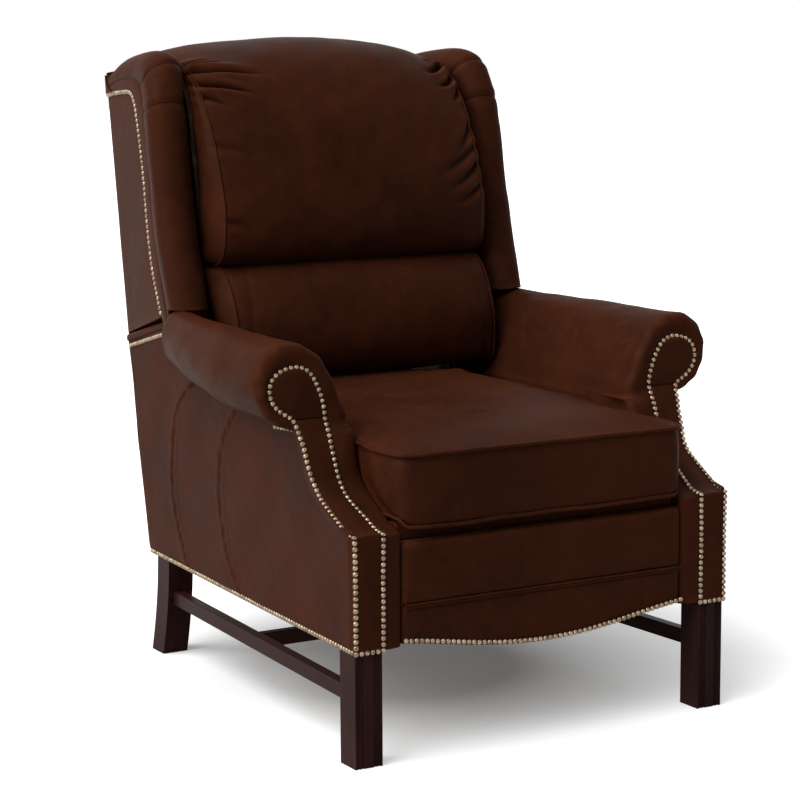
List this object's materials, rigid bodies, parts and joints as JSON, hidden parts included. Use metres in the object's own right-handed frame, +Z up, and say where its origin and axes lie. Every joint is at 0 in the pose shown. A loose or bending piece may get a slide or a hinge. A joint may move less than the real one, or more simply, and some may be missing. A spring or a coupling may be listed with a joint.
{
  "type": "wingback recliner chair",
  "caption": "High-leg wingback recliner with rolled arms, nailed leather, a reclining winged back and a footrest that swings out on a scissor linkage as the seat rolls forward.",
  "frame": {"origin": "on the floor, under the middle of the chair's outline in plan", "axes": "+Z up; the front of the chair faces -Y; +X is to the right of someone who stands in front of the chair and looks at it"},
  "size_m": [0.8644, 1.0412, 1.121],
  "materials": {
    "leather": "chestnut brown pull-up leather, mottled, low sheen",
    "mahogany": "dark red-brown stained hardwood, satin lacquer",
    "beech": "unfinished beech and plywood",
    "steel": "zinc-plated pressed steel",
    "nylon": "dark moulded nylon",
    "jute": "woven jute webbing"
  },
  "bodies": {
    "base": {"front_leg_left": "mahogany", "front_leg_right": "mahogany", "rear_leg_left": "mahogany", "rear_leg_right": "mahogany", "side_stretcher_left": "mahogany", "side_stretcher_right": "mahogany", "cross_stretcher": "mahogany", "side_frame_left": "beech", "side_frame_right": "beech", "runner_rail_left": "beech", "runner_rail_right": "beech", "front_rail": "beech", "rear_rail": "beech", "side_panel_left": "leather", "side_panel_right": "leather", "inside_arm_left": "leather", "inside_arm_right": "leather", "arm_roll_left": "leather", "arm_roll_right": "leather", "arm_front_left": "leather", "arm_front_right": "leather", "rear_band_left": "leather", "rear_band_right": "leather", "lower_back_panel": "leather", "base_plate_left": "steel", "base_plate_right": "steel", "mechanism_bolts": "steel"},
    "seat": {"seat_frame": "beech", "seat_springs": "steel", "seat_deck": "leather", "seat_cushion": "leather", "seat_plate_left": "steel", "seat_plate_right": "steel", "seat_rollers": "nylon"},
    "long_links": {"long_link_left": "steel", "long_link_right": "steel", "torque_tube": "steel"},
    "bell_cranks": {"bell_crank_left": "steel", "bell_crank_right": "steel"},
    "cross_links": {"cross_link_left": "steel", "cross_link_right": "steel"},
    "outer_links": {"outer_link_left": "steel", "outer_link_right": "steel"},
    "footrest": {"footrest_bracket_left": "steel", "footrest_bracket_right": "steel", "footrest_board": "beech", "footrest_pad": "leather", "footrest_apron": "leather"},
    "back": {"back_bracket_left": "steel", "back_bracket_right": "steel", "back_frame": "beech", "back_webbing": "jute", "outside_back": "leather", "crown_pad": "leather", "wing_panel_left": "leather", "wing_panel_right": "leather", "wing_pad_left": "leather", "wing_pad_right": "leather", "head_pillow": "leather", "lumbar_cushion": "leather"}
  },
  "joints": [
    {"name": "seat_glide", "type": "slide", "parent": "base", "child": "seat", "axis": [0, -1, 0], "range_m": [0, 0.045]},
    {"name": "footrest_open", "type": "hinge", "parent": "seat", "child": "long_links", "pos_m": [0, -0.43371, 0.326], "axis": [-1, 0, 0], "range_deg": [0, 95]},
    {"name": "crank_turn", "type": "hinge", "parent": "seat", "child": "bell_cranks", "pos_m": [0, -0.38171, 0.296], "axis": [-1, 0, 0], "range_deg": [0, 95]},
    {"name": "cross_turn", "type": "hinge", "parent": "long_links", "child": "cross_links", "pos_m": [0, -0.36945, 0.22704], "axis": [-1, 0, 0], "range_deg": [-95, 0]},
    {"name": "outer_turn", "type": "hinge", "parent": "long_links", "child": "outer_links", "pos_m": [0, -0.34984, 0.19684], "axis": [-1, 0, 0], "range_deg": [-95, 0]},
    {"name": "footrest_turn", "type": "hinge", "parent": "cross_links", "child": "footrest", "pos_m": [0, -0.47171, 0.324], "axis": [-1, 0, 0], "range_deg": [0, 95]},
    {"name": "back_recline", "type": "hinge", "parent": "base", "child": "back", "pos_m": [0, 0.26529, 0.285], "axis": [-1, 0, 0], "range_deg": [0, 30]}
  ],
  "couplings": [
    {"joint": "seat_glide", "follows": "footrest_open", "m_per_rad": 0.02714},
    {"joint": "crank_turn", "follows": "footrest_open", "ratio": 1},
    {"joint": "cross_turn", "follows": "footrest_open", "ratio": -1},
    {"joint": "outer_turn", "follows": "footrest_open", "ratio": -1},
    {"joint": "footrest_turn", "follows": "footrest_open", "ratio": 1}
  ]
}
